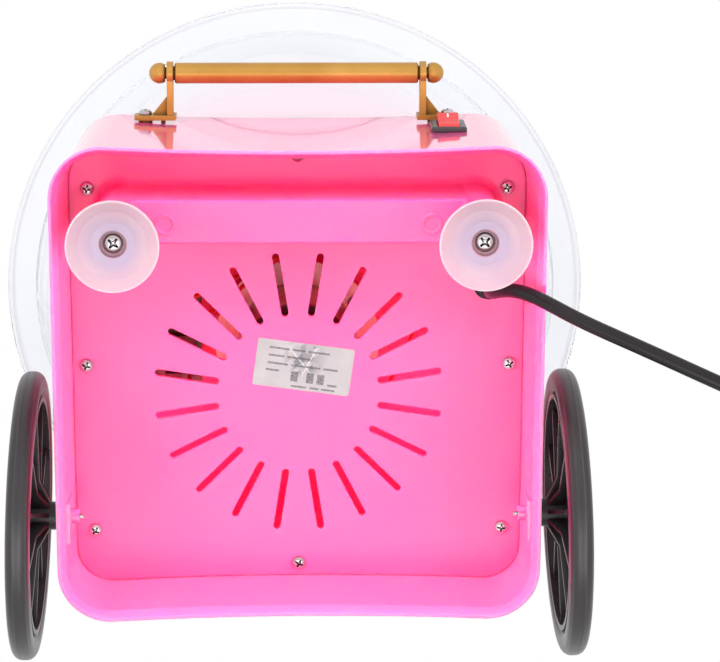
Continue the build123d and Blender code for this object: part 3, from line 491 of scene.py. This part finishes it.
def pink_plastic(name, rough_in, rough_out, polished=False):
    """Moulded pink plastic, thin enough for light to glow through, with one gloss inside and one outside.
    A polished one has a clear gloss outside. Its inside is paler behind, painted light where daylight comes
    through the thin wall."""
    shader = Shader(name, IOR=1.5, Subsurface_Weight=1.0, Subsurface_Radius=(1.0, 0.14, 0.42),
                    Subsurface_Scale=0.006)
    shader.soften(0.0009)
    drift = shader.ramp(shader.noise(9, 4), 0.3, 0.7)
    worn = shader.math("MULTIPLY", shader.edge(), shader.ramp(shader.noise(140, 2), 0.4, 0.7, 0.1, 0.45))
    normal = shader.node("NewGeometry").outputs["Normal"]
    centre = shader.node("VectorMath", {0: shader.place(), 1: BODY_MIDDLE}, operation="SUBTRACT").outputs[0]
    outside = shader.ramp(shader.dot(normal, centre), -0.01, 0.01)
    base = shader.mix(drift, PINK_DEEP, PINK)
    if polished:
        shader.set("Coat Weight", outside)
        shader.set("Coat Roughness", 0.05)
        shader.set("Coat IOR", 1.60)
        # Painted light: the skirt's inside turns paler behind its front, as if daylight came through the thin
        # wall.
        behind = shader.ramp(shader.split(shader.place())[1], -0.100, -0.060)
        inside = shader.math("SUBTRACT", 1.0, outside)
        base = shader.mix(shader.math("MULTIPLY", inside, behind), base, PINK_PAINTED_LIGHT)
    shader.set("Base Color", shader.mix(worn, base, PINK_PALE))
    gloss = shader.ramp(shader.noise(40, 5), 0.25, 0.75, 0.8, 1.25)
    rough = shader.ramp(outside, 0.0, 1.0, rough_in, rough_out)
    shader.set("Roughness", shader.math("MULTIPLY", gloss, rough))
    shader.bump(shader.noise(900, 2), 0.02, 0.0002)
    shader.bump(shader.noise(24, 2), 0.06, 0.002)
    return shader.material


def pink_body():
    """The body shell: polished outside, satin inside the skirt."""
    return pink_plastic("pink_body", 0.34, 0.07, polished=True)


def pink_base():
    return pink_plastic("pink_base", 0.40, 0.36)


def cup_vinyl():
    """Milky soft vinyl, lavender in its thick middle, with a painted glow that turns it paler towards the
    thin lip, a painted highlight round its outer edge, and a dark rosy painted shade in the screw's well.
    """
    shader = Shader("cup_vinyl", IOR=1.45, Subsurface_Weight=0.6, Subsurface_Scale=0.006,
                    Transmission_Weight=0.22, Coat_Weight=0.15, Coat_Roughness=0.2)
    x, y, _ = shader.split(shader.place())
    x = shader.math("SUBTRACT", shader.math("ABSOLUTE", x), FOOT_AT[0])
    y = shader.math("SUBTRACT", y, FOOT_AT[1])
    radius = shader.reach(x, y)
    cloud = shader.ramp(shader.noise(45, 4), 0.3, 0.7)
    # Painted glow: paler and pinker towards the thin lip than in the lavender middle.
    lip = shader.mix(cloud, rgb(0.44, 0.320, 0.395), rgb(0.51, 0.375, 0.43))
    base = shader.mix(shader.ramp(radius, 0.0085, 0.0125), rgb(0.40, 0.315, 0.42), lip)
    # Painted highlight: a bright thin ring round the cup's outer edge.
    base = shader.mix(shader.ramp(radius, 0.0184, 0.0188), base, rgb(0.52, 0.44, 0.49))
    # Painted shade: dark and rosy in the screw's well, paler right round the head.
    well = shader.mix(shader.ramp(radius, 0.0040, 0.0043), rgb(0.56, 0.40, 0.44), rgb(0.30, 0.15, 0.19))
    shader.set("Base Color", shader.mix(shader.ramp(radius, 0.0054, 0.0060), well, base))
    shader.set("Roughness", shader.ramp(shader.noise(90, 4), 0.3, 0.7, 0.28, 0.45))
    shader.bump(shader.noise(700, 2), 0.04, 0.0002)
    shader.bump(shader.rings(radius, 900), 0.05, 0.0002)
    return shader.material


def black_tyre():
    """Dark rubber with a dusty bloom and fine moulding lines round the tread."""
    shader = moulded("black_tyre", rgb(0.017, 0.014, 0.016), rgb(0.08, 0.07, 0.075), rgb(0.010, 0.008, 0.010),
                     0.34, grain=0.14, Coat_Weight=0.15, Coat_Roughness=0.38)
    x, y, _ = shader.split(shader.place())
    toe = math.radians(WHEEL_TOE)
    axial = shader.math("SUBTRACT", shader.math("MULTIPLY", shader.math("ABSOLUTE", x), math.cos(toe)),
                        shader.math("MULTIPLY", y, math.sin(toe)))
    lines = shader.rings(axial, 520)
    patches = shader.ramp(shader.noise(28, 4), 0.4, 0.7, 0.1, 0.7)
    dust = shader.math("MULTIPLY", shader.ramp(lines, 0.52, 0.66), patches)
    shader.set("Base Color", shader.mix(dust, shader.base(), rgb(0.055, 0.052, 0.050)))
    shader.bump(lines, 0.60, 0.0009)
    return shader.material


def gold_paint():
    """Satin gold paint over moulded plastic, a little thin on the edges, with painted shade in its hollows.
    """
    shader = Shader("gold_paint", Metallic=0.75, Coat_Weight=0.12, Coat_Roughness=0.3)
    shader.soften(0.0005)
    patches = shader.ramp(shader.noise(35, 5), 0.3, 0.7)
    base = shader.mix(patches, rgb(0.43, 0.222, 0.042), rgb(0.54, 0.298, 0.070))
    worn = shader.math("MULTIPLY", shader.edge(), shader.ramp(shader.noise(200, 2), 0.4, 0.7))
    base = shader.mix(shader.math("MULTIPLY", worn, 0.5), base, rgb(0.70, 0.50, 0.22))
    # Painted shade: the hollows are darkened to deep brown.
    clear_of_painted_shade = shader.ramp(shader.hollow(0.003), 0.3, 0.9)
    shader.set("Base Color", shader.mix(clear_of_painted_shade, rgb(0.12, 0.045, 0.010), base))
    shader.set("Roughness", shader.ramp(shader.noise(120, 4), 0.25, 0.75, 0.30, 0.46))
    shader.bump(shader.noise(1800, 2), 0.10, 0.0002)
    return shader.material


def clear_plastic():
    """Thin clear plastic: a milky haze, turning lines, and a painted pink reflection of the deck near the
    bottom, where it stands on the deck.
    """
    shader = Shader("clear_plastic", IOR=1.30, Transmission_Weight=0.90, Specular_IOR_Level=0.06)
    x, y, z = shader.split(shader.place())
    haze = shader.ramp(shader.noise(12, 4), 0.3, 0.7)
    base = shader.mix(haze, rgb(0.830, 0.842, 0.880), rgb(0.868, 0.880, 0.912))
    # Painted reflection: the lower part is tinted pink, as from the pink deck below it.
    low = shader.ramp(z, 0.215, 0.165)
    shader.set("Base Color", shader.mix(shader.math("MULTIPLY", low, 0.8), base, rgb(0.93, 0.76, 0.85)))
    shader.set("Roughness", shader.ramp(shader.noise(60, 5), 0.3, 0.8, 0.03, 0.12))
    shader.bump(shader.noise(70, 3), 0.05, 0.001)
    shader.bump(shader.rings(shader.reach(x, y), 420), 0.12, 0.0006)
    return shader.material


def label_foil():
    """A creased foil sticker with rows of plain printed bars, rubbed a little thin, with a painted shadow in
    its crumple and painted highlights along its folds.
    """
    shader = Shader("label_foil", Metallic=0.1, IOR=1.45)
    plane = shader.node("TexCoord").outputs["UV"]
    u, v, _ = shader.split(plane)
    cloud = shader.ramp(shader.noise(80, 4), 0.3, 0.7)
    paper = shader.mix(cloud, rgb(0.30, 0.285, 0.29), rgb(0.36, 0.34, 0.345))
    off = shader.node("VectorMath", {0: plane, 1: CRUMPLE_AT}, operation="DISTANCE").outputs["Value"]
    near = shader.ramp(off, 0.0100, 0.0045)
    crumple = shader.node("TexVoronoi", {"Vector": plane, "Scale": 270.0}, feature="F1").outputs["Color"]
    # Painted shadow: the crumple darkens near its middle.
    painted_crease_shadow = shader.math("MULTIPLY", near, shader.ramp(crumple, 0.15, 0.60))
    paper = shader.mix(painted_crease_shadow, paper, rgb(0.11, 0.11, 0.13))
    # Painted highlights: pale lines along the folds.
    for normal, offset in LABEL_FOLDS:
        side = shader.dot(plane, (*normal, 0))
        painted_fold_highlight = shader.math("MULTIPLY", shader.inside(side, offset, 0.00012, 0.00022), near)
        paper = shader.mix(painted_fold_highlight, paper, rgb(0.62, 0.60, 0.61))
    ink = 0.0
    for along, across, length, height in LABEL_BARS:
        bar = shader.math("MULTIPLY", shader.inside(u, along / 1000, length / 2000, 0.00015),
                          shader.inside(v, across / 1000, height / 2000, 0.00015))
        ink = shader.math("MAXIMUM", ink, bar)
    worn = shader.ramp(shader.noise(1400, 3), 0.30, 0.62, 0.35, 0.9)
    shader.set("Base Color", shader.mix(shader.math("MULTIPLY", ink, worn), paper, rgb(0.045, 0.042, 0.045)))
    shader.set("Roughness", shader.ramp(shader.noise(150, 4), 0.3, 0.7, 0.28, 0.5))
    shader.bump(shader.noise(110, 4, stretch=(1, 2.5, 1)), 0.4, 0.0010)
    return shader.material


def black_cord_sheath():
    """Smooth vinyl, less shiny than the hard plastics."""
    return moulded("black_cord", rgb(0.013, 0.011, 0.012), rgb(0.05, 0.047, 0.05), rgb(0.008, 0.007, 0.008),
                   0.26, grain=0.10, IOR=1.33).material


def rocker_red():
    """Red moulded plastic with one short pale stroke on the rocker's upper half."""
    shader = moulded("red_plastic", rgb(0.60, 0.050, 0.050), rgb(0.80, 0.30, 0.30), rgb(0.50, 0.035, 0.04),
                     0.22)
    x, _, z = shader.split(shader.place())
    low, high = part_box("rocker")
    middle_x, middle_z = (low[0] + high[0]) / 2, (low[2] + high[2]) / 2
    stroke = shader.math("MULTIPLY", shader.inside(x, middle_x, 0.00035, 0.0001),
                         shader.inside(z, middle_z + 0.0038, 0.0014, 0.0002))
    stroke = shader.math("MULTIPLY", stroke, 0.9)
    shader.set("Base Color", shader.mix(stroke, shader.base(), rgb(0.85, 0.80, 0.80)))
    return shader.material


# Colour, paler colour of rubbed edges, darker colour of the drift, roughness and grain.
MOULDED = {
    "black_wheel": (rgb(0.022, 0.019, 0.021), rgb(0.07, 0.064, 0.068), rgb(0.014, 0.012, 0.014), 0.30, 0.10),
    "black_plastic": (rgb(0.045, 0.040, 0.044), rgb(0.18, 0.17, 0.18), rgb(0.030, 0.027, 0.030), 0.32, 0.12),
    "magnet_black": (rgb(0.07, 0.07, 0.075), rgb(0.2, 0.2, 0.2), rgb(0.045, 0.045, 0.05), 0.55, 0.30),
    "carbon": (rgb(0.04, 0.04, 0.042), rgb(0.15, 0.15, 0.15), rgb(0.025, 0.025, 0.025), 0.60, 0.30),
    "rubber_grey": (rgb(0.10, 0.10, 0.10), rgb(0.2, 0.2, 0.2), rgb(0.07, 0.07, 0.07), 0.60, 0.20),
    "ceramic_white": (rgb(0.80, 0.77, 0.71), rgb(0.92, 0.90, 0.87), rgb(0.68, 0.64, 0.58), 0.60, 0.25),
    "nylon_white": (rgb(0.80, 0.79, 0.75), rgb(0.92, 0.91, 0.89), rgb(0.70, 0.69, 0.64), 0.42, 0.06),
    "board_green": (rgb(0.06, 0.22, 0.10), rgb(0.5, 0.55, 0.35), rgb(0.04, 0.16, 0.07), 0.35, 0.06),
    "wire_red": (rgb(0.52, 0.03, 0.03), rgb(0.7, 0.2, 0.2), rgb(0.42, 0.02, 0.02), 0.38, 0.06),
}
# Colour, colour of the duller patches, roughness, and the stretch of the brushed grain.
METALS = {
    # screw_steel's faint pink tint is a painted reflection of the pink body.
    "screw_steel": (rgb(0.70, 0.64, 0.66), rgb(0.50, 0.45, 0.47), 0.16, (1, 1, 1)),
    "axle_steel": (rgb(0.66, 0.65, 0.66), rgb(0.42, 0.42, 0.43), 0.28, (1, 1, 1)),
    "steel_sheet": (rgb(0.60, 0.60, 0.61), rgb(0.40, 0.40, 0.41), 0.34, (1, 1, 12)),
    "head_aluminium": (rgb(0.82, 0.82, 0.84), rgb(0.62, 0.62, 0.64), 0.26, (1, 1, 10)),
    "heater_wire": (rgb(0.42, 0.38, 0.36), rgb(0.24, 0.20, 0.20), 0.45, (1, 1, 1)),
    "copper": (rgb(0.85, 0.48, 0.30), rgb(0.58, 0.28, 0.16), 0.30, (1, 1, 1)),
    "bronze": (rgb(0.70, 0.46, 0.22), rgb(0.46, 0.29, 0.13), 0.42, (1, 1, 1)),
}
FINISHES = {
    "pink_plastic": pink_body(),
    "pink_base": pink_base(),
    "cup_vinyl": cup_vinyl(),
    "black_tyre": black_tyre(),
    "gold_paint": gold_paint(),
    "clear_plastic": clear_plastic(),
    "label_foil": label_foil(),
    "black_cord": black_cord_sheath(),
    "red_plastic": rocker_red(),
    **{name: moulded(name, *row).material for name, row in MOULDED.items()},
    **{name: metal(name, *row).material for name, row in METALS.items()},
}


def dress(piece, finish):
    piece.data.materials.clear()
    piece.data.materials.append(FINISHES[finish])


def dress_frame():
    """Every CAD node gets the material of its slot."""
    for row in frame["record"]["subparts"]:
        dress(NODES[row["node"]], row["material_slot"])
    NODES["bowl"].visible_shadow = False       # light falls through the clear bowl onto the deck


# ---------------------------------------------------------------- stage
FLOOR_AT = 0.06           # how far the floor's middle lies to the right, so that the cord's coil is on it
FLOOR_R = 0.34
LIGHTS_AIM = (0, 0, 0.1)
# Each soft box's place, size and radiance, and whether it shows in shiny surfaces.
SOFT_BOXES = {
    "under_box": ((0.0, 0.45, -1.60), (1.6, 1.2), 2.1, True),
    "left_box": ((-1.30, -0.20, -0.80), (0.8, 1.6), 6.5, False),
    "right_box": ((1.30, -0.20, -0.80), (0.8, 1.6), 6.5, False),
    "front_box": ((0.0, -1.50, -0.90), (1.6, 0.8), 7.5, False),
    "top_box": ((0.0, -0.60, 1.80), (3.0, 2.0), 1.1, False),
    "back_box": ((-0.60, 1.40, 1.00), (1.0, 0.8), 2.5, False),
}
GLOW_AT = (0.062, 0.035, 0.122)          # of the right one of the two
# The share of the surround's brightness that each kind of ray sees.
SURROUND_SHARES = {"Is Diffuse Ray": 0.55, "Is Glossy Ray": 0.95}


def soft_light(name, at, size, radiance, mirrored):
    """A rectangular soft box. Its power follows from its radiance, so that its size doesn't change how bright
    it looks."""
    data = bpy.data.lights.new(name, "AREA")
    data.shape = "RECTANGLE"
    data.size, data.size_y = size
    data.energy = radiance * math.pi * size[0] * size[1]
    light = bpy.data.objects.new(name, data)
    light.location = at
    light.rotation_mode = "QUATERNION"
    light.rotation_quaternion = (Vector(LIGHTS_AIM) - Vector(at)).to_track_quat("-Z", "Y")
    light.visible_camera = False
    light.visible_transmission = False
    light.visible_glossy = mirrored
    bpy.context.scene.collection.objects.link(light)


def make_lights():
    for name, row in SOFT_BOXES.items():
        soft_light(name, *row)


def make_glow():
    """Light that the translucent shell lets into the body, where the slots show it."""
    for side in (-1, 1):
        data = bpy.data.lights.new("glow", "POINT")
        data.energy = 0.14
        data.color = (1.0, 0.06, 0.16)
        data.shadow_soft_size = 0.02
        light = bpy.data.objects.new("glow", data)
        light.location = (side * GLOW_AT[0], GLOW_AT[1], GLOW_AT[2])
        bpy.context.scene.collection.objects.link(light)


def make_world():
    """A white surround. It lights the object at less than the brightness that it shows."""
    world = bpy.data.worlds.new("surround")
    bpy.context.scene.world = world
    world.use_nodes = True
    tree = world.node_tree
    back = tree.nodes["Background"]
    path = tree.nodes.new("ShaderNodeLightPath")
    strength = tree.nodes.new("ShaderNodeMath")
    strength.operation = "MULTIPLY"
    for i, (ray, share) in enumerate(SURROUND_SHARES.items()):
        level = tree.nodes.new("ShaderNodeMapRange")
        level.inputs["To Min"].default_value = 1.0
        level.inputs["To Max"].default_value = share
        tree.links.new(path.outputs[ray], level.inputs["Value"])
        tree.links.new(level.outputs[0], strength.inputs[i])
    back.inputs["Color"].default_value = rgb(1.0, 1.0, 1.0)
    tree.links.new(strength.outputs[0], back.inputs["Strength"])
    bpy.context.scene.view_settings.view_transform = "Standard"


def floor_material():
    """A pale sheet that shows only from above, so that the object can be seen from below too."""
    material = bpy.data.materials.new("floor")
    material.use_nodes = True
    tree = material.node_tree
    main = tree.nodes["Principled BSDF"]
    main.inputs["Base Color"].default_value = rgb(0.42, 0.42, 0.425)
    main.inputs["Emission Color"].default_value = rgb(1.0, 1.0, 1.0)
    main.inputs["Emission Strength"].default_value = 0.40
    main.inputs["Roughness"].default_value = 0.8
    clear = tree.nodes.new("ShaderNodeBsdfTransparent")
    side = tree.nodes.new("ShaderNodeNewGeometry")
    blend = tree.nodes.new("ShaderNodeMixShader")
    tree.links.new(side.outputs["Backfacing"], blend.inputs[0])
    tree.links.new(main.outputs[0], blend.inputs[1])
    tree.links.new(clear.outputs[0], blend.inputs[2])
    tree.links.new(blend.outputs[0], tree.nodes["Material Output"].inputs["Surface"])
    return material


def make_floor():
    """A round sheet under the machine, just wide enough for the coiled cord."""
    angles = [math.pi * i / 48 for i in range(96)]
    rim = [(FLOOR_AT + FLOOR_R * math.cos(a), FLOOR_R * math.sin(a), -0.0002) for a in angles]
    mesh = bpy.data.meshes.new("floor")
    mesh.from_pydata(rim, [], [tuple(range(96))])
    mesh.materials.append(floor_material())
    floor = bpy.data.objects.new("floor", mesh)
    floor.visible_shadow = False
    floor.visible_diffuse = False
    floor.visible_glossy = False
    bpy.context.scene.collection.objects.link(floor)


make_camera()
make_world()
make_lights()
make_glow()
make_floor()
dress_frame()
dress(make_cord(), "black_cord")
make_all_screws()
make_label()
make_grip()
